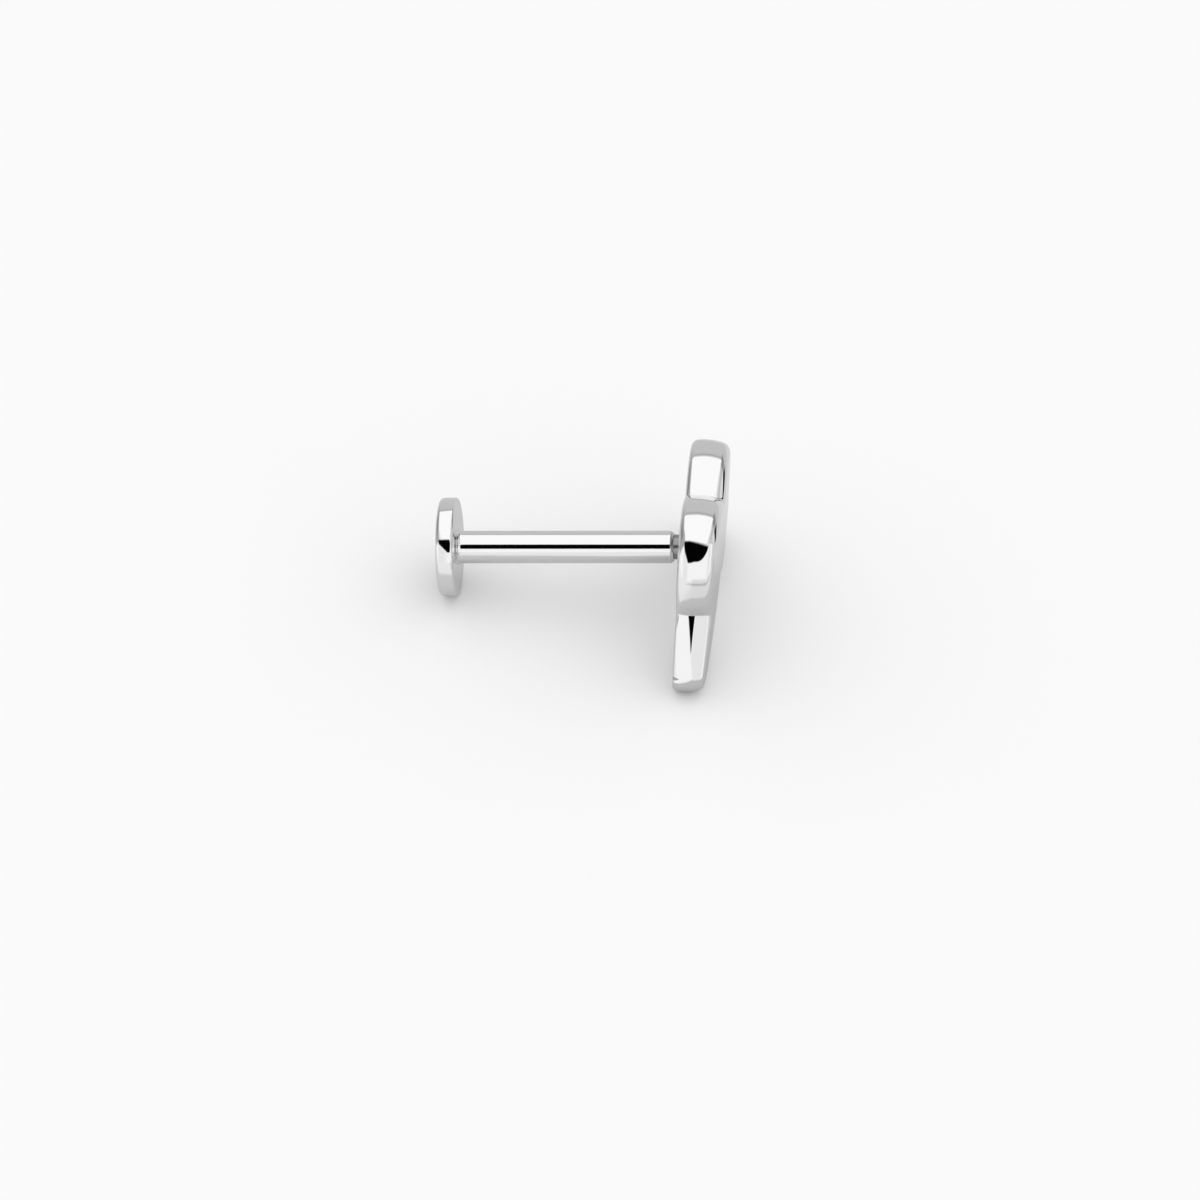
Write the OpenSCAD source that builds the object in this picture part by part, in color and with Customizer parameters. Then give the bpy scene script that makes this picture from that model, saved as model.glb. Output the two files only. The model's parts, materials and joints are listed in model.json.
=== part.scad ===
// Labret stud: a butterfly head screwed into a round post that stands on a flat disc.
// Both pieces are shown lying on a level surface, as the stud comes to rest by itself.

/* [Disc] */
// Diameter of the flat disc
disc_d = 3.65; // [3:0.05:6]
// Thickness of the disc
disc_t = 0.65; // [0.4:0.05:1.2]
// Rounding of the disc's outer back edge
disc_back_r = 0.15; // [0.05:0.01:0.25]
// Rounding of the disc's edge on the post side
disc_front_r = 0.11; // [0.02:0.01:0.12]

/* [Post] */
// Diameter of the post
post_d = 1.2; // [1:0.1:1.6]
// Length of the post from the disc to its open end
post_len = 8; // [4:0.1:14]
// Fillet where the post stands on the disc
post_foot_r = 0.12; // [0.02:0.01:0.2]
// Chamfer at the open end of the post
post_chamfer = 0.1; // [0.02:0.01:0.14]

/* [Pin] */
// Diameter of the pin that holds the head in the post
pin_d = 0.8; // [0.5:0.05:0.8]
// Length of the pin inside the post
pin_len = 2.4; // [1:0.1:3.5]
// Free space between the pin and the post's bore, on the radius
pin_clearance = 0.03; // [0.01:0.01:0.05]
// Free length of the bore past the pin's tip
bore_spare = 0.3; // [0.1:0.1:0.4]
// Gap between the post's open end and the head's neck
seat_gap = 0.03; // [0.01:0.01:0.1]

/* [Neck] */
// Diameter of the neck at its narrowest
neck_d = 0.92; // [0.9:0.01:1.1]
// Diameter of the neck where it meets the butterfly
neck_foot_d = 1.24; // [1.2:0.02:1.8]
// Length of the neck
neck_len = 0.35; // [0.25:0.01:1]

/* [Butterfly] */
// Width across the front wings
wing_span = 10.3; // [7:0.05:14]
// Thickness of the butterfly at the post's axis
wing_t = 1.4; // [1:0.05:2]
// Loss of thickness for each millimetre towards the butterfly's head
wing_taper = 0.035; // [0:0.005:0.05]
// Radius of the gently domed front
dome_r = 110; // [80:5:300]
// Rounding of the back edge
back_edge_r = 0.19; // [0.05:0.01:0.2]
// Rounding of the front edge
front_edge_r = 0.38; // [0.1:0.01:0.4]
// Lean of the butterfly from square on the post
wing_lean = 4.6; // [0:0.1:8]

/* [Hidden] */

// Half of the span, which the outline's shares are of
half_span = wing_span / 2;
// Start of the outline at the cleft between the hind wings
cleft_z = 0.432 * half_span;
cleft_angle = 139;
// Arcs of a hind wing: radius share, angle of the outline's normal at the end, steps
HIND_ARCS = [[0.489, 92, 10], [0.322, 47, 8], [0.608, 16, 8], [0.393, -5, 4]];
// Waist between the hind wing and the front wing, as shares, and its steps
WAIST = [0.736, -0.014];
waist_steps = 3;
// Arcs of a front wing: radius share, angle of the outline's normal at the end, steps
waist_angle = 43;
FORE_ARCS = [[1.537, 27, 9], [0.172, -95, 14], [1.215, -130, 14]];
notch_steps = 4;

// Tilt of the side wall from square, at its back and front end, hind wing and front wing
WALL_BACK = [8, 14];
WALL_FRONT = [14, 26];
// Height share where the wall starts to grow rounder, and over which it does
round_from = 0.09;
round_over = 0.2;
// Normal angles of the rings round the back edge, the share of the wall and the front edge
BACK_RINGS = [-90, -66, -42];
WALL_RINGS = [0, 0.25, 0.5, 0.75, 1];
FRONT_RINGS = [0.33, 0.66, 1];
front_end = 87;
// Rings of the domed front, as shares of the distance from the post's axis
DOME_RINGS = [0.88, 0.7, 0.48, 0.24];

// Depth of the neck inside the butterfly, as a share of its thickness
neck_root = 0.35;
// Steepest pitch that the stud can lie at
steepest_pitch = 60;
pitch_steps = 26;
post_facets = 96;
bore_facets = 64;

neck_x = post_len + seat_gap;
plate_x = neck_x + neck_len;
pin_tip_x = post_len - pin_len;
bore_x = pin_tip_x - bore_spare;
bore_r = pin_d / 2 + pin_clearance;

function unit(a) = [cos(a), sin(a)];

// Points of one arc from a start point, after the start itself
function arc_points(start, r, a0, a1, steps) =
    [for (i = [1:steps]) start + r * (unit(a0 + (a1 - a0) * i / steps) - unit(a0))];

// Points of a chain of arcs, each starting where the last one ended
function chain(start, a0, arcs, i = 0) =
    i == len(arcs) ? []
    : let (pts = arc_points(start, arcs[i][0] * half_span, a0, arcs[i][1], arcs[i][2]))
      concat(pts, chain(last(pts), arcs[i][1], arcs, i + 1));

function line_points(a, b, steps) = [for (i = [1:steps]) a + (b - a) * i / steps];
function last(list) = list[len(list) - 1];

// One side of the butterfly, from the hind cleft to the notch at its head
CLEFT = [0, cleft_z];
HIND = chain(CLEFT, cleft_angle, HIND_ARCS);
WAIST_LINE = line_points(last(HIND), WAIST * half_span, waist_steps);
FORE = chain(last(WAIST_LINE), waist_angle, FORE_ARCS);
notch_angle = last(FORE_ARCS)[1];
notch_z = last(FORE)[1] + last(FORE)[0] / tan(notch_angle);
NOTCH_LINE = line_points(last(FORE), [0, notch_z], notch_steps);
SIDE = concat([CLEFT], HIND, WAIST_LINE, FORE, NOTCH_LINE);

// Whole outline: the side, then its mirror image without the two shared points
OUTLINE = concat(SIDE, [for (i = [len(SIDE) - 2:-1:1]) [-SIDE[i][0], SIDE[i][1]]]);
COUNT = len(OUTLINE);

// Direction out of the butterfly at one point of the outline
function outward(i) =
    let (d = OUTLINE[(i + 1) % COUNT] - OUTLINE[(i + COUNT - 1) % COUNT], n = [-d[1], d[0]])
    n / norm(n);

// Thickness of the plate at a place on it
function thickness(p) = wing_t + wing_taper * p[1] - (p * p) / (2 * dome_r);

// Share of the way from the hind wing's wall to the front wing's rounder wall
function roundness(p) =
    let (t = max(0, min(1, (round_from - p[1] / half_span) / round_over))) t * t * (3 - 2 * t);
function wall_back(p) = WALL_BACK[0] + (WALL_BACK[1] - WALL_BACK[0]) * roundness(p);
function wall_front(p) = WALL_FRONT[0] + (WALL_FRONT[1] - WALL_FRONT[0]) * roundness(p);
function wall_r(p) =
    (thickness(p) - back_edge_r * (1 - sin(wall_back(p))) - front_edge_r * (1 - sin(wall_front(p))))
    / (sin(wall_back(p)) + sin(wall_front(p)));

// Place on the side wall as [height, distance inside the outline], by its normal's angle
function edge_point(p, a) =
    let (r = wall_r(p), b = wall_back(p), f = wall_front(p), mid = back_edge_r * (1 - sin(b)) + r * sin(b))
    a < -b
    ? [back_edge_r * (1 + sin(a)), r - (r - back_edge_r) * cos(b) - back_edge_r * cos(a)]
    : a <= f
    ? [mid + r * sin(a), r - r * cos(a)]
    : [mid + (r - front_edge_r) * sin(f) + front_edge_r * sin(a),
       r - (r - front_edge_r) * cos(f) - front_edge_r * cos(a)];

// Normal angles of all edge rings at one place of the outline, from back to front
function edge_angles(p) =
    let (b = wall_back(p), f = wall_front(p))
    concat(BACK_RINGS,
           [for (s = WALL_RINGS) -b + s * (b + f)],
           [for (s = FRONT_RINGS) f + s * (front_end - f)]);

// A point of the plate: height off the back along x, outline across y and z
function plate_point(i, e) =
    let (p = OUTLINE[i] - outward(i) * e[1]) [e[0], p[0], p[1]];
function edge_ring(k) =
    [for (i = [0:COUNT - 1]) plate_point(i, edge_point(OUTLINE[i], edge_angles(OUTLINE[i])[k]))];
EDGE_COUNT = len(BACK_RINGS) + len(WALL_RINGS) + len(FRONT_RINGS);
EDGE_RINGS = [for (k = [0:EDGE_COUNT - 1]) edge_ring(k)];
RIM = last(EDGE_RINGS);

// Domed rings inside the front edge, drawn in towards the post's axis
function dome_point(q, s) =
    let (p = [q[1], q[2]], off = q[0] - thickness(p))
    [thickness(p * s) + off * pow(s, 3), s * q[1], s * q[2]];
DOME = [for (s = DOME_RINGS) [for (q = RIM) dome_point(q, s)]];
RINGS = concat(EDGE_RINGS, DOME);
PLATE_POINTS = concat([[0, 0, 0]], [for (ring = RINGS) each ring], [[wing_t, 0, 0]]);

// Triangles: a fan on the back, a band between each two rings, a fan on the front
function at(k, i) = 1 + k * COUNT + i % COUNT;
BACK_FAN = [for (i = [0:COUNT - 1]) [0, at(0, i + 1), at(0, i)]];
BANDS = [for (k = [0:len(RINGS) - 2], i = [0:COUNT - 1])
    each [[at(k, i), at(k, i + 1), at(k + 1, i + 1)], [at(k, i), at(k + 1, i + 1), at(k + 1, i)]]];
FRONT_FAN = [for (i = [0:COUNT - 1])
    [len(PLATE_POINTS) - 1, at(len(RINGS) - 1, i), at(len(RINGS) - 1, i + 1)]];
PLATE_FACES = concat(BACK_FAN, BANDS, FRONT_FAN);

// Side view of both pieces on the post's axis, as circles of [x, z, radius]
HEAD_SIDE = [for (q = PLATE_POINTS)
    [plate_x + q[0] * cos(wing_lean) + q[2] * sin(wing_lean), q[2] * cos(wing_lean) - q[0] * sin(wing_lean), 0]];
DISC_SIDE = [for (side = [-1, 1])
    each [[disc_back_r - disc_t, side * (disc_d / 2 - disc_back_r), disc_back_r],
          [-disc_front_r, side * (disc_d / 2 - disc_front_r), disc_front_r]]];

// Reach of a side view down and to both ends, after the stud is pitched, head end up
function lowest(view, pitch) = min([for (c = view) c[0] * sin(pitch) + c[1] * cos(pitch) - c[2]]);
function leftmost(view, pitch) = min([for (c = view) c[0] * cos(pitch) - c[1] * sin(pitch) - c[2]]);
function rightmost(view, pitch) = max([for (c = view) c[0] * cos(pitch) - c[1] * sin(pitch) + c[2]]);

// Pitch at which the disc's rim and the front wings touch the surface together
function rest_pitch(low, high, steps) =
    let (mid = (low + high) / 2)
    steps == 0 ? mid
    : lowest(HEAD_SIDE, mid) < lowest(DISC_SIDE, mid) ? rest_pitch(mid, high, steps - 1)
    : rest_pitch(low, mid, steps - 1);
pitch = rest_pitch(-steepest_pitch, steepest_pitch, pitch_steps);
lift = -lowest(DISC_SIDE, pitch);
middle = (leftmost(DISC_SIDE, pitch) + rightmost(HEAD_SIDE, pitch)) / 2;

// Puts a piece that is built along the post's axis down on the surface
module at_rest() {
    translate([-middle, 0, lift])
        rotate([0, -pitch, 0])
            children();
}

// Half section of the disc with both of its rounded edges, radius across and height up
module disc_section() {
    translate([0, -disc_t])
        square([disc_d / 2 - disc_back_r, disc_t - disc_front_r]);
    translate([0, disc_back_r - disc_t])
        square([disc_d / 2, disc_t - disc_back_r - disc_front_r]);
    translate([0, disc_back_r - disc_t])
        square([disc_d / 2 - disc_front_r, disc_t - disc_back_r]);
    intersection() {
        translate([disc_d / 2 - disc_back_r, disc_back_r - disc_t])
            circle(r = disc_back_r, $fn = post_facets);
        translate([0, -disc_t])
            square([disc_d / 2, disc_back_r]);
    }
    translate([disc_d / 2 - disc_front_r, -disc_front_r])
        circle(r = disc_front_r, $fn = post_facets);
}

// Hollow quarter round that fills the corner between a shaft and a flat face
module foot_fillet(shaft_r, r) {
    rotate_extrude($fn = post_facets)
        difference() {
            translate([shaft_r - r, -r])
                square([2 * r, 2 * r]);
            translate([shaft_r + r, r])
                circle(r = r, $fn = post_facets);
        }
}

// Disc and post in one piece, with a plain bore for the head's pin
module labret_post() {
    color("gainsboro")
        at_rest()
            rotate([0, 90, 0])
                difference() {
                    union() {
                        rotate_extrude($fn = post_facets)
                            disc_section();
                        foot_fillet(post_d / 2, post_foot_r);
                        translate([0, 0, -disc_t / 2])
                            cylinder(h = post_len - post_chamfer + disc_t / 2, d = post_d, $fn = post_facets);
                        translate([0, 0, post_len - post_chamfer])
                            cylinder(h = post_chamfer, d1 = post_d, d2 = post_d - 2 * post_chamfer, $fn = post_facets);
                    }
                    translate([0, 0, bore_x])
                        cylinder(h = post_len, r = bore_r, $fn = bore_facets);
                }
}

// Plain domed butterfly, leaned back on the post
module butterfly_plate() {
    translate([plate_x, 0, 0])
        rotate([0, wing_lean, 0])
            polyhedron(points = PLATE_POINTS, faces = PLATE_FACES, convexity = 6);
}

// Neck that flares into the butterfly, and the plain pin that it carries into the post
module neck_and_pin() {
    flare_r = (neck_foot_d - neck_d) / 2;
    translate([pin_tip_x, 0, 0])
        rotate([0, 90, 0])
            cylinder(h = pin_len + seat_gap + neck_len / 2, d = pin_d, $fn = bore_facets);
    translate([neck_x, 0, 0])
        rotate([0, 90, 0])
            cylinder(h = neck_len + neck_root * wing_t, d = neck_d, $fn = post_facets);
    translate([plate_x, 0, 0])
        rotate([0, 90, 0])
            mirror([0, 0, 1])
                foot_fillet(neck_d / 2, flare_r);
}

// Butterfly, neck and pin, soldered into one piece
module butterfly_head() {
    color("silver")
        at_rest()
            union() {
                butterfly_plate();
                neck_and_pin();
            }
}

labret_post();
butterfly_head();
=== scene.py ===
"""Looks of the labret stud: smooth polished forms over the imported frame, their steel, a studio."""

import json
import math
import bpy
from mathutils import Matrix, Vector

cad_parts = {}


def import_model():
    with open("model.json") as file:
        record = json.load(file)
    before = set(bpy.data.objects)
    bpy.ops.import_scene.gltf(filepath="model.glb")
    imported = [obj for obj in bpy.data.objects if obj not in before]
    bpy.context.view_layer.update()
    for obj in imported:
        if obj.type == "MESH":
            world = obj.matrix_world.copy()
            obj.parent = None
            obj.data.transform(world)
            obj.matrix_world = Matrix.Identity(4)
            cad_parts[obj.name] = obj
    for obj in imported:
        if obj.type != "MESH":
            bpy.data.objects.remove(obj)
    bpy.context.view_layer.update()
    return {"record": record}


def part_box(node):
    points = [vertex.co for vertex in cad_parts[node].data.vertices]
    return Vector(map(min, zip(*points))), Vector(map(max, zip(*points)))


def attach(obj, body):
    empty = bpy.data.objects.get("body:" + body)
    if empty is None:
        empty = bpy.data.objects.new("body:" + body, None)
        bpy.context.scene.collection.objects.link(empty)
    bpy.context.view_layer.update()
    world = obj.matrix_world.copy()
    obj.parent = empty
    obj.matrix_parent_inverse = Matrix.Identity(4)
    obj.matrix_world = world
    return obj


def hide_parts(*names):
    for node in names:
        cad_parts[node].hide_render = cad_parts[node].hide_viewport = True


bl_info = {
    "name": "Labret stud with butterfly head",
    "version": (1, 0, 0),
    "blender": (4, 5, 0),
    "location": "View3D > Sidebar > Labret stud",
    "description": "Builds the polished post, its disc and the butterfly head, in a small studio",
    "category": "Object",
}

import bmesh
import bpy
from bpy.props import FloatProperty, FloatVectorProperty, PointerProperty
from mathutils import Matrix, Vector

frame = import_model()

MM = 0.001
MOUNTS = {mount["name"]: mount for mount in frame["record"]["mounts"]}
CHANNEL = MOUNTS["piercing_channel"]
POST_AXIS = Vector(CHANNEL["axis"]).normalized()
POST_LENGTH = CHANNEL["dims"]["length_mm"] * MM
POST_RADIUS = CHANNEL["dims"]["r_mm"] * MM
DISC_FACE = Vector(CHANNEL["pos_m"]) - POST_AXIS * POST_LENGTH / 2
DISC_THICKNESS = (DISC_FACE - Vector(MOUNTS["disc_back"]["pos_m"])).length
SHARP = math.radians(40)


def width(node):
    """Size of a node across the stud's plane of symmetry."""
    low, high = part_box(node)
    return high[1] - low[1]


DISC_RADIUS = width("labret_post") / 2
HALF_SPAN = width("butterfly_head") / 2


def post_frame():
    """Matrix from the post's own frame, with its origin on the disc's inner face."""
    across = Vector((0, 1, 0))
    turn = Matrix((POST_AXIS, across, POST_AXIS.cross(across))).transposed()
    return Matrix.Translation(DISC_FACE) @ turn.to_4x4()


# Settings


def length(name, description, default, low, high):
    """A length that a user would change, given in millimetres and held in metres."""
    return FloatProperty(
        name=name, description=description, default=default * MM,
        min=low * MM, max=high * MM, unit="LENGTH", precision=5,
    )


def angle(name, description, default, low, high):
    """An angle that a user would change, given in degrees."""
    return FloatProperty(
        name=name, description=description, default=math.radians(default),
        min=math.radians(low), max=math.radians(high), subtype="ANGLE",
    )


def share(name, description, default, low=0, high=1):
    """A share that a user would change."""
    return FloatProperty(
        name=name, description=description, default=default,
        min=low, max=high, subtype="FACTOR",
    )


class PostSizes(bpy.types.PropertyGroup):
    """Sizes of the disc and the post."""

    disc_back_round: length(
        "Disc back rounding", "Radius of the disc's outer edge at the back", 0.15, 0.05, 0.3)
    disc_front_round: length(
        "Disc front rounding", "Radius of the disc's edge on the post side", 0.11, 0.02, 0.3)
    disc_crown: angle("Disc crown", "Tilt of the disc's wall at its back edge", 5, 1, 30)
    foot_round: length(
        "Foot rounding", "Hollow round where the post stands on the disc", 0.19, 0.02, 0.3)
    end_chamfer: length("End chamfer", "Chamfer at the open end of the post", 0.1, 0.02, 0.14)
    bore_radius: length("Bore radius", "Radius of the bore for the head's pin", 0.43, 0.2, 0.5)
    bore_depth: length("Bore depth", "Depth of the bore from the post's open end", 2.7, 1, 4)


class NeckSizes(bpy.types.PropertyGroup):
    """Sizes of the neck and the pin."""

    seat_gap: length(
        "Seat gap", "Gap between the post's open end and the neck", 0.03, 0.01, 0.1)
    neck_length: length("Neck length", "Length of the neck up to the butterfly", 0.35, 0.2, 1)
    neck_radius: length("Neck radius", "Radius of the neck at its narrowest", 0.46, 0.4, 0.6)
    foot_radius: length(
        "Neck foot radius", "Radius of the neck where it meets the butterfly", 0.62, 0.5, 0.9)
    pin_radius: length("Pin radius", "Radius of the pin inside the post", 0.4, 0.2, 0.45)
    pin_length: length("Pin length", "Length of the pin inside the post", 2.4, 1, 3.5)


class ButterflySizes(bpy.types.PropertyGroup):
    """Sizes of the domed butterfly."""

    thickness: length("Thickness", "Thickness at the post's axis", 1.4, 0.8, 2.5)
    taper: FloatProperty(
        name="Taper", default=0.035, min=0, max=0.1,
        description="Loss of thickness for each unit of length towards the butterfly's head",
    )
    dome: length("Dome radius", "Radius of the gently domed front", 110, 40, 400)
    back_round: length(
        "Back edge rounding", "Radius of the edge towards the post", 0.19, 0.05, 0.3)
    front_round: length(
        "Front edge rounding", "Radius of the edge away from the post", 0.38, 0.05, 0.6)
    fore_round: length(
        "Front wing rounding", "Radius of the front wings' edge away from the post",
        0.25, 0.05, 0.6)
    lean: angle("Lean", "Lean of the butterfly from square on the post", 4.6, 0, 10)
    hind_back: angle(
        "Hind wall, back", "Tilt of the hind wing's side wall at its back edge", 8, 1, 30)
    hind_front: angle(
        "Hind wall, front", "Tilt of the hind wing's side wall at its front edge", 14, 1, 40)
    fore_back: angle(
        "Front wall, back", "Tilt of the front wing's side wall at its back edge", 14, 1, 30)
    fore_front: angle(
        "Front wall, front", "Tilt of the front wing's side wall at its front edge", 26, 1, 40)
    crease_back: angle(
        "Crease, back tilt", "Tilt of the creased wall at its back edge", 20, 5, 30)
    crease_front: angle(
        "Crease, front tilt", "Tilt of the creased wall at its front edge", 22, 18, 40)
    crease_width: share(
        "Crease width", "Width of the rounded crease at the waist, as a share of the wall",
        0.37, 0.02, 0.6)


class SteelFinish(bpy.types.PropertyGroup):
    """Colour and polish of the steel, with the neck's darker colour, which is painted shade."""

    colour: FloatVectorProperty(
        name="Steel colour", description="Colour of the polished steel",
        size=3, default=(0.80, 0.80, 0.805), min=0, max=1, subtype="COLOR",
    )
    polish: share("Roughness", "Roughness of the polished faces", 0.035)
    # Painted shade: the neck's colour is darker to stand in for the dark gap between the post's end
    # and the butterfly, which the neck mirrors
    neck_painted_shade_colour: FloatVectorProperty(
        name="Neck colour",
        description="Colour of the steel on the neck, which the polishing wheel doesn't reach",
        size=3, default=(0.3, 0.3, 0.305), min=0, max=1, subtype="COLOR",
    )
    neck_polish: share("Neck roughness", "Roughness of the turned neck", 0.25)
    wave: share(
        "Polishing waves", "Strength of the faint unevenness that polishing leaves", 0.05)


class StudioSizes(bpy.types.PropertyGroup):
    """Camera and lights."""

    turn: angle("Camera turn", "Turn of the camera towards the butterfly's front", 6.7, 0, 90)
    height: angle("Camera height", "Height of the camera over the post's level", 38.7, 1, 89)
    distance: length(
        "Camera distance", "Distance of the camera from the post's middle", 685, 100, 2000)
    view_width: length(
        "View width", "Width that the picture takes in at the stud", 44.13, 10, 200)
    aim_right: length(
        "Aim to the right", "Picture's middle, to the right of the post's middle",
        1.24, -20, 20)
    aim_down: length(
        "Aim down", "Picture's middle, below the post's middle", 1.95, -20, 20)
    floor_shade: share("Floor shade", "Paleness of the floor", 0.87)
    # Painted shadow: the floor near the stud is darker in the steel than the camera sees it
    shadowed_floor_in_steel: share(
        "Mirrored floor", "Paleness of the floor as the polished steel mirrors it", 0.68)
    light: FloatProperty(
        name="Light", description="Strength of the soft light all round",
        default=1.1, min=0, max=5,
    )


# Node trees


MERGE_DISTANCE = 1e-7
INDEX_NUDGE = 0.25  # keeps a whole number clear of rounding down when it is read as an index


class Term:
    """A node's output that takes part in sums written in Python."""

    def __init__(self, tree, socket):
        self.tree = tree
        self.socket = socket

    def __add__(self, other):
        return self.tree.sum_of("ADD", self, other)

    def __sub__(self, other):
        return self.tree.sum_of("SUBTRACT", self, other)

    def __rsub__(self, other):
        return self.tree.sum_of("SUBTRACT", other, self)

    def __mul__(self, other):
        return self.tree.sum_of("MULTIPLY", self, other)

    def __truediv__(self, other):
        return self.tree.sum_of("DIVIDE", self, other)

    def __pow__(self, other):
        return self.tree.sum_of("POWER", self, other)

    def __neg__(self):
        return 0 - self

    __radd__ = __add__
    __rmul__ = __mul__


class Tree:
    """A node tree, built from node types, their settings and what goes into their sockets."""

    def __init__(self, tree):
        self.tree = tree

    def node(self, kind, settings=None, sockets=None):
        made = self.tree.nodes.new(kind)
        for name, value in (settings or {}).items():
            setattr(made, name, value)
        for key, value in (sockets or {}).items():
            if isinstance(value, Term):
                self.tree.links.new(value.socket, made.inputs[key])
            else:
                made.inputs[key].default_value = value
        return made

    def get(self, kind, settings=None, sockets=None, output=0):
        return Term(self, self.node(kind, settings, sockets).outputs[output])

    def sum_of(self, operation, *values):
        return self.get("ShaderNodeMath", {"operation": operation}, dict(enumerate(values)))

    def dot(self, one, other):
        return self.get(
            "ShaderNodeVectorMath", {"operation": "DOT_PRODUCT"}, {0: one, 1: other}, "Value")

    def taken(self, one, other):
        """One vector less the other."""
        return self.get("ShaderNodeVectorMath", {"operation": "SUBTRACT"}, {0: one, 1: other})

    def scaled(self, vector, factor):
        return self.get(
            "ShaderNodeVectorMath", {"operation": "SCALE"}, {0: vector, "Scale": factor})

    def part(self, vector, letter):
        return self.get("ShaderNodeSeparateXYZ", None, {0: vector}, letter)

    def sine(self, value):
        return self.sum_of("SINE", value)

    def cosine(self, value):
        return self.sum_of("COSINE", value)

    def lesser(self, one, other):
        return self.sum_of("MINIMUM", one, other)

    def greater(self, one, other):
        return self.sum_of("MAXIMUM", one, other)

    def clamped(self, value):
        return self.get("ShaderNodeClamp", None, {0: value})

    def eased(self, value):
        """Rises smoothly from 0 to 1 as the value does."""
        rise = self.clamped(value)
        return rise * rise * (3 - 2 * rise)


class ShapeTree(Tree):
    """A geometry tree with named inputs, ending in one plain mesh with its material."""

    def __init__(self, name, inputs):
        tree = bpy.data.node_groups.new(name, "GeometryNodeTree")
        super().__init__(tree)
        for label, kind in {"Geometry": "Geometry", **inputs, "Material": "Material"}.items():
            tree.interface.new_socket(
                name=label, in_out="INPUT", socket_type="NodeSocket" + kind)
        tree.interface.new_socket(
            name="Geometry", in_out="OUTPUT", socket_type="NodeSocketGeometry")
        self.entry = self.node("NodeGroupInput")

    def given(self, label):
        return Term(self, self.entry.outputs[label])

    def read(self, field, index):
        """Reads a vector of the source's points at an index."""
        return self.get(
            "GeometryNodeSampleIndex", {"data_type": "FLOAT_VECTOR", "domain": "POINT"},
            {"Geometry": self.given("Geometry"), "Value": field, "Index": index + INDEX_NUDGE},
        )

    def grid(self, columns, rows):
        """A grid of points, with the column and the row of each point."""
        sheet = self.get(
            "GeometryNodeMeshGrid", None, {"Vertices X": columns, "Vertices Y": rows})
        index = self.get("GeometryNodeInputIndex")
        column = self.sum_of("FLOOR", (index + 0.5) / rows)
        return sheet, column, index - column * rows

    def finish(self, sheet, position):
        """Moves the grid's points into place, closes its seams and gives it the material."""
        moved = self.get(
            "GeometryNodeSetPosition", None, {"Geometry": sheet, "Position": position})
        closed = self.get(
            "GeometryNodeMergeByDistance", None,
            {"Geometry": moved, "Distance": MERGE_DISTANCE})
        smooth = self.get("GeometryNodeSetShadeSmooth", None, {"Geometry": closed})
        real = self.get("GeometryNodeRealizeInstances", None, {"Geometry": smooth})
        dressed = self.get(
            "GeometryNodeSetMaterial", None,
            {"Geometry": real, "Material": self.given("Material")})
        self.node("NodeGroupOutput", None, {"Geometry": dressed})


def shaped(name, source, tree, values):
    """Runs a geometry tree on a source mesh and gives back the plain mesh that it makes."""
    carrier = bpy.data.objects.new(name + "_source", source)
    bpy.context.scene.collection.objects.link(carrier)
    modifier = carrier.modifiers.new("shape", "NODES")
    modifier.node_group = tree.tree
    for socket in tree.tree.interface.items_tree:
        if socket.in_out == "INPUT" and socket.name in values:
            modifier[socket.identifier] = values[socket.name]
    evaluated = carrier.evaluated_get(bpy.context.evaluated_depsgraph_get())
    made = bpy.data.meshes.new_from_object(evaluated)
    bpy.data.objects.remove(carrier)
    bpy.data.meshes.remove(source)
    if not made.polygons:
        raise RuntimeError(name + " came out of its tree empty")
    made.materials.pop(index=0)  # the source's own empty slot
    return made


def joined(name, meshes, node):
    """One piece at the origin from meshes in the row's frame, standing for a CAD node."""
    whole = bpy.data.meshes.new(name)
    work = bmesh.new()
    for index, mesh in enumerate(meshes):
        part = bmesh.new()
        part.from_mesh(mesh)
        bmesh.ops.recalc_face_normals(part, faces=part.faces)
        for face in part.faces:
            face.material_index = index
        part.to_mesh(mesh)
        part.free()
        work.from_mesh(mesh)
        whole.materials.append(mesh.materials[0])
    work.to_mesh(whole)
    work.free()
    whole.set_sharp_from_angle(angle=SHARP)
    for mesh in meshes:
        bpy.data.meshes.remove(mesh)
    piece = bpy.data.objects.new(name, whole)
    bpy.context.scene.collection.objects.link(piece)
    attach(piece, "root")
    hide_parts(node)


# Turned forms


EDGE_STEPS = 28
CROWN_STEPS = 24
HOLLOW_STEPS = 20
FACETS = 192
STRAIGHT_SHARES = (0.01, 0.04, 0.12, 0.3, 0.5, 0.7, 0.88, 0.96, 0.99)


def direction(degrees):
    """Cosine and sine of an angle in degrees."""
    return math.cos(math.radians(degrees)), math.sin(math.radians(degrees))


def part_way(start, end, way):
    """Point that lies a share of the way from one point to another."""
    return tuple(a + (b - a) * way for a, b in zip(start, end))


def arc(x, y, radius, start, end, steps):
    """Points of an arc about a centre, angles in degrees."""
    points = []
    for i in range(steps + 1):
        across, up = direction(start + (end - start) * i / steps)
        points.append((x + radius * across, y + radius * up))
    return points


def section(stretches):
    """A section (radius, along) whose stretches are joined by straight runs."""
    points = []
    for stretch in stretches:
        if points:
            points += [part_way(points[-1], stretch[0], way) for way in STRAIGHT_SHARES]
        points += stretch
    return points


def turned_tree():
    """Tree that turns a section round the post's axis."""
    tree = ShapeTree("Turned form", {"Points": "Int", "Facets": "Int"})
    facets = tree.given("Facets")
    sheet, column, row = tree.grid(tree.given("Points"), facets + 1)
    place = tree.read(tree.get("GeometryNodeInputPosition"), column)
    turn = row * (2 * math.pi) / facets
    radius = tree.part(place, "X")
    position = tree.get("ShaderNodeCombineXYZ", None, {
        "X": tree.part(place, "Y"),
        "Y": radius * tree.cosine(turn),
        "Z": radius * tree.sine(turn),
    })
    tree.finish(sheet, position)
    return tree


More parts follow.
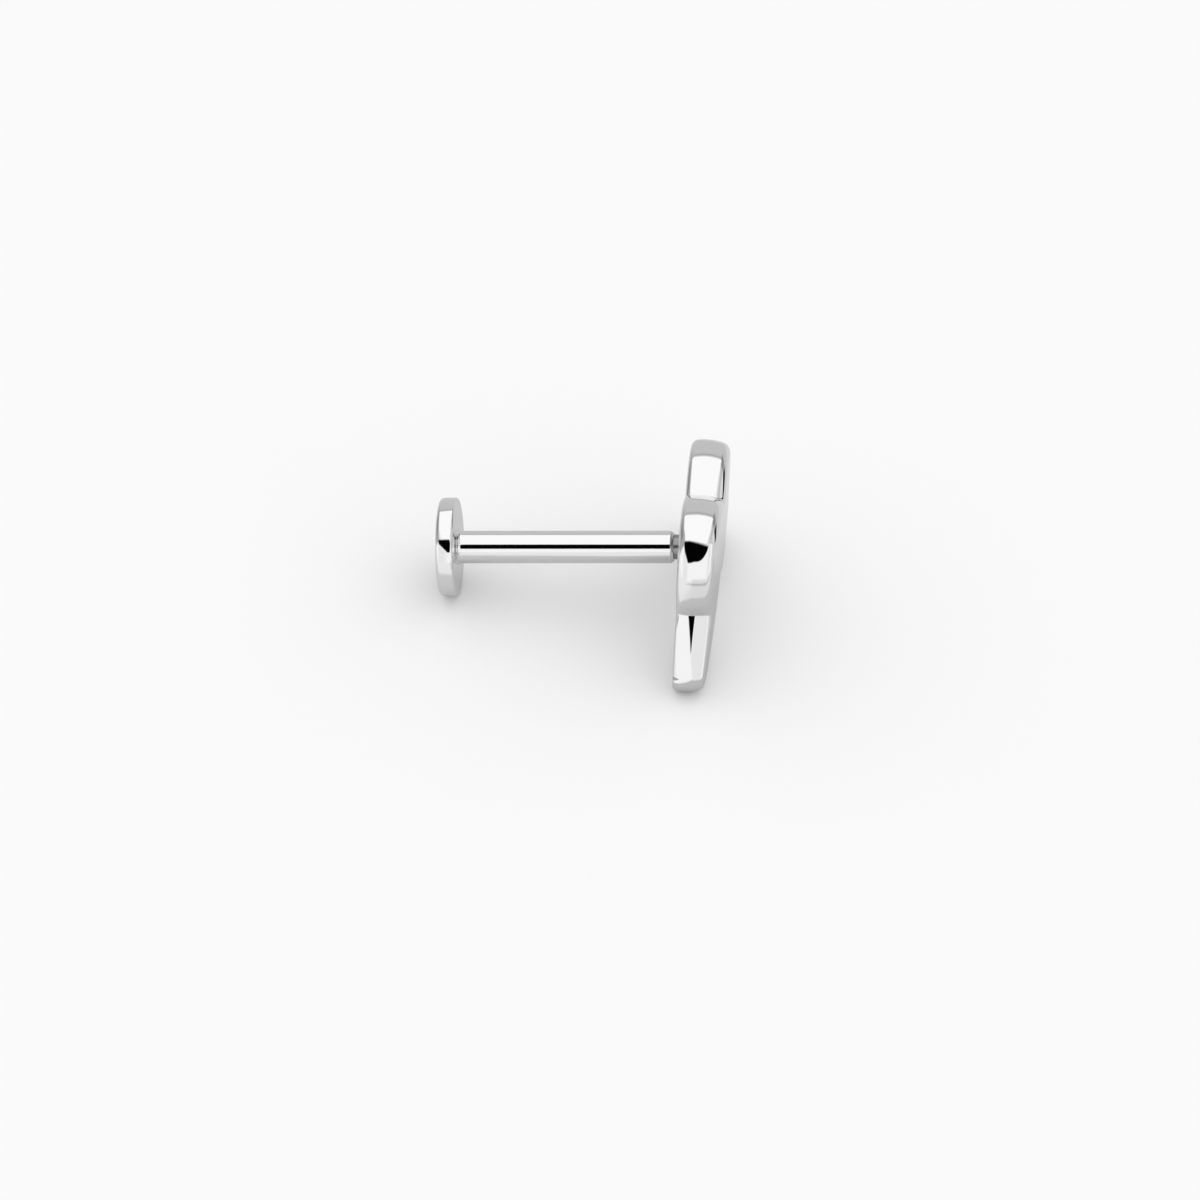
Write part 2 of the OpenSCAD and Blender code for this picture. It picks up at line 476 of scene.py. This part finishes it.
def turned(name, points, material):
    """Mesh of a section turned round the post's axis, in the row's frame."""
    source = bpy.data.meshes.new(name + "_section")
    source.from_pydata([(radius, along, 0) for radius, along in points], [], [])
    made = shaped(name, source, turned_tree(), {
        "Points": len(points), "Facets": FACETS, "Material": material,
    })
    made.transform(post_frame())
    return made


# The butterfly's outline, in shares of half its span. An arc is its radius and the angle of the
# outward normal at its end. The arcs run from the cleft between the hind wings to the notch.


CLEFT = (0, 0.484)
CLEFT_ANGLE = 128.2
HIND_START = (0.002, 0.4856)
HIND_ARCS = ((0.54, 94), (0.542, 72), (0.21, 47), (0.608, 16), (0.393, -12.6))
WAIST = (0.738, -0.03)
WAIST_ANGLE = 43
FORE_ARCS = ((1.48, 26), (0.14, -51), (0.26, -95), (1.215, -130))
STEP = 0.008
FAN_STEP = 7


def wing_outline():
    """One side of the outline as (across, up, angle of its outward normal)."""
    points = []

    def follow(arcs, place, normal):
        """Adds arcs that carry on from a place, and gives the place and normal at their end."""
        for radius, end in arcs:
            across, up = direction(normal)
            steps = max(2, round(abs(math.radians(end - normal)) * radius / STEP))
            places = arc(
                place[0] - radius * across, place[1] - radius * up, radius, normal, end, steps)
            for i, place in enumerate(places):
                points.append((*place, normal + (end - normal) * i / steps))
            normal = end
        return place, normal

    def fan(place, start, end):
        """Adds one place again and again, with its normal turning."""
        steps = max(1, round(abs(end - start) / FAN_STEP))
        for i in range(1, steps):
            points.append((*place, start + (end - start) * i / steps))

    def line(start, end, normal):
        steps = max(2, round(math.dist(start, end) / STEP))
        for i in range(steps + 1):
            points.append((*part_way(start, end, i / steps), normal))

    fan(CLEFT, 90, CLEFT_ANGLE)
    line(CLEFT, HIND_START, CLEFT_ANGLE)
    hind_end = follow(HIND_ARCS, HIND_START, CLEFT_ANGLE)[0]
    waist_run = math.degrees(math.atan2(WAIST[0] - hind_end[0], hind_end[1] - WAIST[1]))
    line(hind_end, WAIST, waist_run)
    fan(WAIST, waist_run, WAIST_ANGLE)
    fore_end, fore_angle = follow(FORE_ARCS, WAIST, WAIST_ANGLE)
    notch = (0, fore_end[1] + fore_end[0] / math.tan(math.radians(fore_angle)))
    line(fore_end, notch, fore_angle)
    fan(notch, fore_angle, -90)
    return points


def butterfly_outline():
    """Whole outline as a mesh of points, with the outward direction on each."""
    side = wing_outline()
    whole = [(0, CLEFT[1], 90)] + side + [(0, side[-1][1], -90)]
    whole += [(-y, z, 180 - normal) for y, z, normal in reversed(side)]
    source = bpy.data.meshes.new("butterfly_outline")
    source.from_pydata([(0, y * HALF_SPAN, z * HALF_SPAN) for y, z, normal in whole], [], [])
    outward = source.attributes.new("outward", "FLOAT_VECTOR", "POINT")
    for item, (y, z, normal) in zip(outward.data, whole):
        item.vector = (0, *direction(normal))
    return source


# The butterfly's plate


BACK_ROWS = 6
BACK_EDGE_ROWS = 16
WALL_ROWS = 24
FRONT_EDGE_ROWS = 20
DOME_ROWS = 24
ROWS = BACK_ROWS + BACK_EDGE_ROWS + WALL_ROWS + FRONT_EDGE_ROWS + DOME_ROWS + 1
FRONT_END = math.radians(87)

# Heights above the post's axis in shares of half the span: where the front wings' rounder wall
# and their crease begin, and how much farther down they reach their full strength.
ROUND_FROM = 0.09
ROUND_OVER = 0.2
CREASE_FROM = 0.05
CREASE_OVER = 0.1
CREASE_TIP = -0.29  # where the crease runs out to a line

CREASE_FACING = 0.4  # how far up the wall has to face for the full crease
CREASE_PLACE = 0.288  # the crease's start at the axis, as a share of the wall from its back
CREASE_SLANT = 0.95
CREASE_LEAST = 0.012
CREASE_LOW = math.radians(-10)
CREASE_HIGH = math.radians(17.5)
CREASE_LOW_LIMIT = 0.6  # most of the wall's own tilt that the crease's edges take
CREASE_HIGH_LIMIT = 0.8

OUTER_ROUND = 0.45  # how much rounder the back edge is on the hind wings' outer sides
OUTER_OVER = 0.3


def butterfly_tree():
    """Tree that lays the back, the side wall and the domed front along the outline."""
    names = (
        "Half span", "Thickness", "Taper", "Dome radius",
        "Back rounding", "Front rounding", "Fore rounding",
        "Hind back tilt", "Hind front tilt", "Fore back tilt", "Fore front tilt",
        "Crease back tilt", "Crease front tilt", "Crease width",
    )
    tree = ShapeTree("Butterfly plate", {"Points": "Int", **{name: "Float" for name in names}})
    points = tree.given("Points")
    sheet, column, row = tree.grid(points + 1, ROWS)
    index = tree.sum_of("FLOORED_MODULO", column, points)
    place = tree.read(tree.get("GeometryNodeInputPosition"), index)
    named = tree.get(
        "GeometryNodeInputNamedAttribute", {"data_type": "FLOAT_VECTOR"}, {"Name": "outward"})
    outward = tree.read(named, index)
    share_up = tree.part(place, "Z") / tree.given("Half span")

    def thickness(spot):
        """Thickness of the plate at a spot on it."""
        taper = tree.part(spot, "Z") * tree.given("Taper")
        return tree.given("Thickness") + taper - tree.dot(spot, spot) / (
            2 * tree.given("Dome radius"))

    def passed(first, rows):
        """Share of a run of rows that lies behind a point's row."""
        return tree.clamped((row - first) / rows)

    def changed(start, end, amount):
        """A value on its way from one to another."""
        return start + (end - start) * amount

    # Tilts of the wall's two edges, and the radii of the rounded edges
    rounder = tree.eased((ROUND_FROM - share_up) / ROUND_OVER)
    creased = tree.eased((CREASE_FROM - share_up) / CREASE_OVER)
    creased = creased * tree.eased(tree.part(outward, "Z") / CREASE_FACING)
    back = changed(tree.given("Hind back tilt"), tree.given("Fore back tilt"), rounder)
    back = changed(back, tree.given("Crease back tilt"), creased)
    front = changed(tree.given("Hind front tilt"), tree.given("Fore front tilt"), rounder)
    front = changed(front, tree.given("Crease front tilt"), creased)
    outer = tree.part(outward, "Y") * tree.part(place, "Y") / tree.given("Half span")
    outer = tree.clamped(outer / OUTER_OVER) * (1 - rounder)
    back_r = tree.given("Back rounding") * (1 + OUTER_ROUND * outer)
    front_r = changed(tree.given("Front rounding"), tree.given("Fore rounding"), rounder)

    # The wall between them: one arc, or two facets with the crease between them
    edges = back_r * (1 - tree.sine(back)) + front_r * (1 - tree.sine(front))
    wall = thickness(place) - edges
    plain_r = wall / (tree.sine(back) + tree.sine(front))
    crease_start = tree.greater(CREASE_LOW, -CREASE_LOW_LIMIT * back)
    crease_end = tree.lesser(CREASE_HIGH, CREASE_HIGH_LIMIT * front)
    ridge_from = CREASE_PLACE - CREASE_SLANT * share_up
    ridge = tree.given("Crease width") * (share_up - CREASE_TIP) / (CREASE_FROM - CREASE_TIP)
    ridge = tree.greater(ridge, CREASE_LEAST)

    def radius_of(stretch, start, end):
        """Radius of one stretch of the side wall that takes up a share of it."""
        return changed(plain_r, stretch * wall / (tree.sine(end) - tree.sine(start)), creased)

    back_facet_r = radius_of(ridge_from, -back, crease_start)
    crease_r = radius_of(ridge, crease_start, crease_end)
    front_facet_r = radius_of(1 - ridge_from - ridge, crease_end, front)

    # How far the surface leans at a point's row, from facing back to facing front
    wall_row = BACK_ROWS + BACK_EDGE_ROWS
    front_row = wall_row + WALL_ROWS
    dome_row = front_row + FRONT_EDGE_ROWS
    lean = passed(BACK_ROWS, BACK_EDGE_ROWS) * (math.pi / 2 - back) - math.pi / 2
    lean = lean + passed(wall_row, WALL_ROWS) * (back + front)
    lean = lean + passed(front_row, FRONT_EDGE_ROWS) * (FRONT_END - front)

    # Height over the back and inset from the outline, summed over the arcs behind the point
    low = tree.lesser(lean, -back)
    facet_back = tree.greater(tree.lesser(lean, crease_start), -back)
    crease = tree.greater(tree.lesser(lean, crease_end), crease_start)
    facet_front = tree.greater(tree.lesser(lean, front), crease_end)
    high = tree.greater(lean, front)
    height = back_r * (tree.sine(low) + 1)
    height = height + back_facet_r * (tree.sine(facet_back) + tree.sine(back))
    height = height + crease_r * (tree.sine(crease) - tree.sine(crease_start))
    height = height + front_facet_r * (tree.sine(facet_front) - tree.sine(crease_end))
    height = height + front_r * (tree.sine(high) - tree.sine(front))
    inset = back_r * (tree.cosine(back) - tree.cosine(low))
    inset = inset + back_facet_r * (tree.cosine(crease_start) - tree.cosine(facet_back))
    inset = inset + crease_r * (1 - tree.cosine(crease))
    inset = inset + front_facet_r * (tree.cosine(crease_end) - tree.cosine(facet_front))
    inset = inset + front_r * (tree.cosine(front) - tree.cosine(high))

    # The back and the dome close in on the axis from the rim
    rim = tree.taken(place, tree.scaled(outward, inset))
    dome = passed(dome_row, DOME_ROWS)
    reach = passed(0, BACK_ROWS) * (1 - dome * dome)
    spot = tree.scaled(rim, reach)
    above = thickness(spot) + (height - thickness(rim)) * reach ** 3
    on_front = tree.sum_of("GREATER_THAN", row, BACK_ROWS - 0.5)
    position = tree.get("ShaderNodeCombineXYZ", None, {
        "X": above * on_front, "Y": tree.part(spot, "Y"), "Z": tree.part(spot, "Z"),
    })
    tree.finish(sheet, position)
    return tree


# Finishes


CLOUD_SCALE = 420
HAIR_SCALE = 9000
WAVE_DEPTH = 0.02 * MM

# Plain part, part of the clouds and part of the hairlines
BRIGHTNESS = (0.985, 0.02, 0.01)
UNEVEN_POLISH = (0.7, 0.4, 0.35)
RELIEF = (0, 4, 0.15)

# Stretch of the hairlines, along the post and across it
HAIRS_ALONG = (0.02, 1, 1)
HAIRS_EVEN = (1, 1, 1)
HAIRS_ROUND = (1, 0.05, 0.05)


def steel(name, colour, polish, wave, stretch):
    """Steel with the faint waves and hairlines that its polishing leaves."""
    material = bpy.data.materials.new(name)
    material.use_nodes = True
    material.node_tree.nodes.clear()
    tree = Tree(material.node_tree)
    place = tree.get("ShaderNodeTexCoord", None, None, "Object")
    along = tree.get("ShaderNodeMapping", None, {
        "Vector": place, "Rotation": (0, math.asin(POST_AXIS.z), 0), "Scale": stretch,
    })
    cloud = tree.get("ShaderNodeTexNoise", None, {
        "Vector": place, "Scale": CLOUD_SCALE, "Detail": 2, "Roughness": 0.5,
    })
    hairs = tree.get("ShaderNodeTexNoise", None, {
        "Vector": along, "Scale": HAIR_SCALE, "Detail": 3, "Roughness": 0.6,
    })

    def mottled(parts):
        plain, of_cloud, of_hairs = parts
        return plain + of_cloud * cloud + of_hairs * hairs

    bump = tree.get("ShaderNodeBump", None, {
        "Strength": wave, "Distance": WAVE_DEPTH, "Height": mottled(RELIEF),
    })
    shader = tree.get("ShaderNodeBsdfPrincipled", None, {
        "Base Color": tree.scaled(colour[:], mottled(BRIGHTNESS)), "Metallic": 1.0,
        "Roughness": polish * mottled(UNEVEN_POLISH), "Normal": bump,
    })
    tree.node("ShaderNodeOutputMaterial", None, {"Surface": shader})
    return material


# The studio. The steel mirrors shades of its own, so that they fall as on the real stud: a tent of
# cards, and a floor with painted shadow round the stud.


FLOOR_HALF = 0.6
SENSOR = 36
CLIP_START = 0.01
CLIP_END = 10
TO_DEGREES = 180 / math.pi

# The mirrored floor, in millimetres across the picture and ahead of the post towards the camera
HEAD_FROM = 1
HEAD_OVER = 4
OPEN_FROM = 4.2
OPEN_LATER = 4.3  # how much farther ahead the open floor starts at the head
OPEN_OVER = 2.2
BEHIND_FROM = -1.5
BEHIND_OVER = 2

# A darker band far ahead, a painted reflection of a dark line: its near, far and left sides, each
# with the distance that it fades over
BAND_START = (32, 24)
BAND_END = (120, 40)
BAND_LEFT = (-8, 6)

# Paleness of the open floor, and what the other places take from the floor's paleness: painted
# shadow round the head and behind the stud, and a painted dark band far ahead
OPEN_SHADE = 0.905
OPEN_HEAD_PAINTED_SHADOW = 0.13
BAND_PAINTED_REFLECTION = 0.24
HEAD_PAINTED_SHADOW = 0.1
BEHIND_PAINTED_SHADOW = 0.08

# The tent's dark opening, in degrees. Its lower edge climbs in a curve to the right, dips a
# little to the left and then climbs steeply. Its upper edge slopes, and is level past a stop.
LOWER_EDGE = -12
CURVE_FROM = -1
CURVE_SPAN = 20
CURVE_RISE = 13.9
CURVE_POWER = 2.6
CLIMB_FROM = 15.5
CLIMB_SLOPE = 2.6
DIP_FROM = 3
DIP_SPAN = 9
DIP_DEPTH = 1.5
LOWER_SOFT = 1.5
UPPER_EDGE = 14.5
UPPER_SLOPE = 0.25
UPPER_STOP = -13.5
UPPER_SOFT = 4

TENT_SHADE = 0.64
PANEL_END = 19  # the panel's right side at the camera's level, which moves out as it rises
PANEL_SLOPE = 1 / 12


# Operators


class LABRET_OT_post(bpy.types.Operator):
    """Turns the disc and the post as one smooth piece with its bore"""

    bl_idname = "labret.post"
    bl_label = "Disc and post"

    def execute(self, context):
        sizes = context.scene.labret_post
        back_r = sizes.disc_back_round
        front_r = sizes.disc_front_round
        foot_r = sizes.foot_round
        chamfer = sizes.end_chamfer
        crown = sizes.disc_crown
        wall = DISC_THICKNESS - front_r - back_r * (1 - math.sin(crown))
        crown_r = wall / math.sin(crown)
        crown_end = -math.degrees(crown)
        edge = DISC_RADIUS - crown_r * (1 - math.cos(crown)) - back_r * math.cos(crown)
        points = section([
            [(0, -DISC_THICKNESS)],
            arc(edge, back_r - DISC_THICKNESS, back_r, -90, crown_end, EDGE_STEPS),
            arc(DISC_RADIUS - crown_r, -front_r, crown_r, crown_end, 0, CROWN_STEPS),
            arc(DISC_RADIUS - front_r, -front_r, front_r, 0, 90, EDGE_STEPS),
            arc(POST_RADIUS + foot_r, foot_r, foot_r, 270, 180, HOLLOW_STEPS),
            [(POST_RADIUS, POST_LENGTH - chamfer)],
            [(POST_RADIUS - chamfer, POST_LENGTH)],
            [(sizes.bore_radius, POST_LENGTH)],
            [(sizes.bore_radius, POST_LENGTH - sizes.bore_depth)],
            [(0, POST_LENGTH - sizes.bore_depth)],
        ])
        finish = context.scene.labret_finish
        turned_steel = steel(
            "turned_steel", finish.colour, finish.polish, finish.wave, HAIRS_ALONG)
        mesh = turned("post", points, turned_steel)
        joined("post_and_disc", [mesh], "labret_post")
        return {"FINISHED"}


class LABRET_OT_head(bpy.types.Operator):
    """Builds the domed butterfly with its neck and pin"""

    bl_idname = "labret.head"
    bl_label = "Butterfly head"

    def execute(self, context):
        wings = context.scene.labret_butterfly
        neck = context.scene.labret_neck
        finish = context.scene.labret_finish
        cast_steel = steel("cast_steel", finish.colour, finish.polish, finish.wave, HAIRS_EVEN)
        # The neck's darker steel is painted shade for the gap between the post's end and the
        # butterfly
        shaded_neck_steel = steel(
            "shaded_neck_steel", finish.neck_painted_shade_colour, finish.neck_polish, finish.wave, HAIRS_ROUND)
        neck_start = POST_LENGTH + neck.seat_gap
        plate_start = neck_start + neck.neck_length
        plate = self.plate(wings, cast_steel)
        leaned = Matrix.Translation((plate_start, 0, 0)) @ Matrix.Rotation(wings.lean, 4, "Y")
        plate.transform(post_frame() @ leaned)
        stem = self.stem(neck, neck_start, plate_start, wings.thickness / 3, shaded_neck_steel)
        joined("butterfly_and_neck", [plate, stem], "butterfly_head")
        return {"FINISHED"}

    def plate(self, wings, material):
        """The butterfly in its own frame, with its back at the origin."""
        source = butterfly_outline()
        return shaped("butterfly", source, butterfly_tree(), {
            "Points": len(source.vertices), "Half span": HALF_SPAN, "Material": material,
            "Thickness": wings.thickness, "Taper": wings.taper, "Dome radius": wings.dome,
            "Back rounding": wings.back_round, "Front rounding": wings.front_round,
            "Fore rounding": wings.fore_round,
            "Hind back tilt": wings.hind_back, "Hind front tilt": wings.hind_front,
            "Fore back tilt": wings.fore_back, "Fore front tilt": wings.fore_front,
            "Crease back tilt": wings.crease_back, "Crease front tilt": wings.crease_front,
            "Crease width": wings.crease_width,
        })

    def stem(self, neck, neck_start, plate_start, depth, material):
        """The pin and the neck, which flares into the butterfly and ends inside it."""
        flare = neck.foot_radius - neck.neck_radius
        root = plate_start + depth
        points = section([
            [(0, POST_LENGTH - neck.pin_length)],
            [(neck.pin_radius, POST_LENGTH - neck.pin_length)],
            [(neck.pin_radius, neck_start)],
            [(neck.neck_radius, neck_start)],
            arc(neck.foot_radius, plate_start - flare, flare, 180, 90, HOLLOW_STEPS),
            [(neck.foot_radius, root)],
            [(0, root)],
        ])
        return turned("neck", points, material)


class LABRET_OT_stage(bpy.types.Operator):
    """Sets the pale floor, the soft studio light and the camera"""

    bl_idname = "labret.stage"
    bl_label = "Studio"

    def execute(self, context):
        studio = context.scene.labret_studio
        self.lay_floor(studio)
        right, up, back = self.set_camera(context, studio)
        self.set_light(context, studio.light, right, up, back)
        context.scene.view_settings.view_transform = "Standard"
        return {"FINISHED"}

    def lay_floor(self, studio):
        """Lays a plain floor, with a shade of its own in the steel that holds painted shadow round
        the stud.
        """
        half = FLOOR_HALF
        corners = [(-half, -half, 0), (half, -half, 0), (half, half, 0), (-half, half, 0)]
        mesh = bpy.data.meshes.new("floor")
        mesh.from_pydata(corners, [], [(0, 1, 2, 3)])
        floor = bpy.data.objects.new("floor", mesh)
        bpy.context.scene.collection.objects.link(floor)
        material = bpy.data.materials.new("pale_floor")
        material.use_nodes = True
        material.node_tree.nodes.clear()
        tree = Tree(material.node_tree)
        mirrored = tree.get("ShaderNodeLightPath", None, None, "Is Glossy Ray")
        shade_with_painted_shadow = self.painted_floor_shade_for_steel(tree, studio.shadowed_floor_in_steel)
        # The steel sees the floor with painted shadow round the stud; camera rays and the floor's
        # own light see it plain
        shade = studio.floor_shade + (shade_with_painted_shadow - studio.floor_shade) * mirrored
        shader = tree.get("ShaderNodeBsdfPrincipled", None, {
            "Base Color": tree.get(
                "ShaderNodeCombineColor", None, {0: shade, 1: shade, 2: shade}),
            "Roughness": 1.0, "Specular IOR Level": 0.0,
        })
        tree.node("ShaderNodeOutputMaterial", None, {"Surface": shader})
        mesh.materials.append(material)

    def painted_floor_shade_for_steel(self, tree, floor_shade):
        """Paleness of the floor as the steel mirrors it, by the place on the floor, with painted
        shadow round the stud and a painted dark band far ahead.
        """
        place = tree.get("ShaderNodeTexCoord", None, None, "Object")
        across = tree.part(place, "X") / MM
        ahead = tree.part(place, "Y") / -MM

        def after(value, start, over):
            return tree.eased((value - start) / over)

        def before(value, end, over):
            return tree.eased((end - value) / over)

        at_head = after(across, HEAD_FROM, HEAD_OVER)
        behind = before(ahead, BEHIND_FROM, BEHIND_OVER)
        open_floor = after(ahead, OPEN_FROM + OPEN_LATER * at_head, OPEN_OVER)
        band = after(ahead, *BAND_START) * before(ahead, *BAND_END) * after(across, *BAND_LEFT)
        # Painted shadow: darker near the head and behind the stud
        near = floor_shade - HEAD_PAINTED_SHADOW * at_head * (1 - behind)
        near = near - BEHIND_PAINTED_SHADOW * behind * (1 - at_head)
        # Painted shade on the open floor towards the head, and a painted reflection of a dark band
        # far ahead
        far = OPEN_SHADE - OPEN_HEAD_PAINTED_SHADOW * at_head - BAND_PAINTED_REFLECTION * band
        return near + (far - near) * open_floor

    def set_camera(self, context, studio):
        """Looks at the post's middle as the photograph does, and gives its own directions."""
        frame_turn = post_frame().to_3x3()
        turn, height = studio.turn, studio.height
        back = frame_turn @ Vector((
            math.sin(turn),
            -math.cos(turn) * math.cos(height),
            math.cos(turn) * math.sin(height),
        ))
        up = frame_turn @ Vector((0, math.sin(height), math.cos(height)))
        right = up.cross(back).normalized()
        up = back.cross(right)
        middle = DISC_FACE + POST_AXIS * POST_LENGTH / 2
        eye = middle + right * studio.aim_right - up * studio.aim_down + back * studio.distance
        data = bpy.data.cameras.new("camera")
        data.sensor_width = SENSOR
        data.lens = SENSOR * studio.distance / studio.view_width
        data.clip_start = CLIP_START
        data.clip_end = CLIP_END
        camera = bpy.data.objects.new("camera", data)
        turned_to = Matrix((right, up, back)).transposed()
        camera.matrix_world = Matrix.Translation(eye) @ turned_to.to_4x4()
        context.scene.collection.objects.link(camera)
        context.scene.camera = camera
        return right, up, back

    def set_light(self, context, light, right, up, back):
        """Plain soft light, and a tent of pale cards with a dark opening for the steel."""
        world = bpy.data.worlds.new("studio")
        world.use_nodes = True
        world.node_tree.nodes.clear()
        tree = Tree(world.node_tree)
        mirrored = tree.get("ShaderNodeLightPath", None, None, "Is Glossy Ray")
        tent = tree.get("ShaderNodeBackground", None, {
            "Color": self.tent_shade(tree, right, up, back),
        })
        plain = tree.get("ShaderNodeBackground", None, {
            "Color": (1, 1, 1, 1), "Strength": light,
        })
        mixed = tree.get("ShaderNodeMixShader", None, {0: mirrored, 1: plain, 2: tent})
        tree.node("ShaderNodeOutputWorld", None, {"Surface": mixed})
        context.scene.world = world

    def tent_shade(self, tree, right, up, back):
        """Shade of the tent by direction.

        side is the angle to the right, and around is the angle from the front up over the top.
        """
        way = tree.get("ShaderNodeTexCoord", None, None, "Generated")
        facing = tree.dot(way, back[:])
        rising = tree.dot(way, up[:])
        aside = tree.dot(way, right[:])
        sky = tree.dot(way, (0, 0, 1))
        around = tree.sum_of("ARCTAN2", rising, facing) * TO_DEGREES
        side = tree.sum_of("ARCSINE", aside) * TO_DEGREES

        def after(value, start, soft):
            """Rises from 0 to 1 over a soft edge."""
            return tree.clamped((value - start) / soft + 0.5)

        def before(value, end, soft):
            return 1 - after(value, end, soft)

        def between(value, start, end, soft):
            return after(value, start, soft) * before(value, end, soft)

        curve = tree.greater((side - CURVE_FROM) / CURVE_SPAN, 0) ** CURVE_POWER
        climb = tree.greater(-side - CLIMB_FROM, 0)
        dip = tree.eased((-side - DIP_FROM) / DIP_SPAN)
        lower = CURVE_RISE * curve + CLIMB_SLOPE * climb - DIP_DEPTH * dip + LOWER_EDGE
        upper = UPPER_EDGE - UPPER_SLOPE * tree.greater(side, UPPER_STOP)
        opening = after(around, lower, LOWER_SOFT) * before(around, upper, UPPER_SOFT)
        panel_side = PANEL_END + around * PANEL_SLOPE
        low = before(around, 12, 3)

        # Each card has a name, its shade and the directions that it covers. A later one lies
        # over the earlier ones. The last number of each edge is its softness.
        cards = (
            ("Left side", 0.46, before(side, -25, 14)),
            ("Left corner overhead", 0.3, before(side, -44, 8) * between(around, 50, 140, 12)),
            ("Right side", 0.85, after(side, 24, 6) * between(around, 17, 95, 8)),
            ("Right strip", 0.62, between(side, 29, 48, 6) * between(around, 20, 90, 10)),
            ("Seam overhead", 0.5, between(around, 95, 101, 4) * after(side, -24, 6)),
            ("Right seam", 0.3, between(side, 24, 48, 6) * between(around, 84, 110, 8)),
            ("Low front", 1.12, low),
            ("Low left fold", 0.97, low * between(side, -26, -16, 5)),
            ("Low right fold", 0.97, low * between(side, 24, 46, 6)),
            ("Low right end", 0.75, low * after(side, 64, 12)),
            ("Skirting", 0.85,
             low * before(sky, 0.05, 0.08) * between(side, -8, 24, 6)),
            ("Main panel", 1.19,
             between(around, 12, 95, 4) * after(side, -22, 3) * before(side, panel_side, 5)),
            ("Dark gap at the right", 0.02,
             between(facing, -0.34, 0.03, 0.05) * after(aside, 0.8, 0.1)
             * after(rising, 0.05, 0.05)),
            ("Dark opening", 0.0, opening * after(side, -26, 4)),
        )
        shade = (TENT_SHADE, TENT_SHADE, TENT_SHADE, 1)
        for label, value, mask in cards:
            shade = tree.get(
                "ShaderNodeMix", {"data_type": "RGBA", "label": label},
                {0: mask, 6: shade, 7: (value, value, value, 1)}, 2)
        return shade


class LABRET_PT_panel(bpy.types.Panel):
    """Lists the stud's pieces and the studio"""

    bl_idname = "LABRET_PT_panel"
    bl_label = "Labret stud"
    bl_space_type = "VIEW_3D"
    bl_region_type = "UI"
    bl_category = "Labret stud"

    def draw(self, context):
        for operator in OPERATORS:
            self.layout.operator(operator.bl_idname)
        for name in SETTINGS:
            group = getattr(context.scene, name)
            for label in group.bl_rna.properties.keys():
                if label not in ("rna_type", "name"):
                    self.layout.prop(group, label)


SETTINGS = {
    "labret_post": PostSizes,
    "labret_neck": NeckSizes,
    "labret_butterfly": ButterflySizes,
    "labret_finish": SteelFinish,
    "labret_studio": StudioSizes,
}
OPERATORS = (LABRET_OT_post, LABRET_OT_head, LABRET_OT_stage)


def register():
    for kind in (*SETTINGS.values(), *OPERATORS, LABRET_PT_panel):
        bpy.utils.register_class(kind)
    for name, kind in SETTINGS.items():
        setattr(bpy.types.Scene, name, PointerProperty(type=kind))


def unregister():
    for name in SETTINGS:
        delattr(bpy.types.Scene, name)
    for kind in reversed((*SETTINGS.values(), *OPERATORS, LABRET_PT_panel)):
        bpy.utils.unregister_class(kind)


def main():
    register()
    bpy.ops.labret.post()
    bpy.ops.labret.head()
    bpy.ops.labret.stage()


if __name__ == "__main__":
    main()
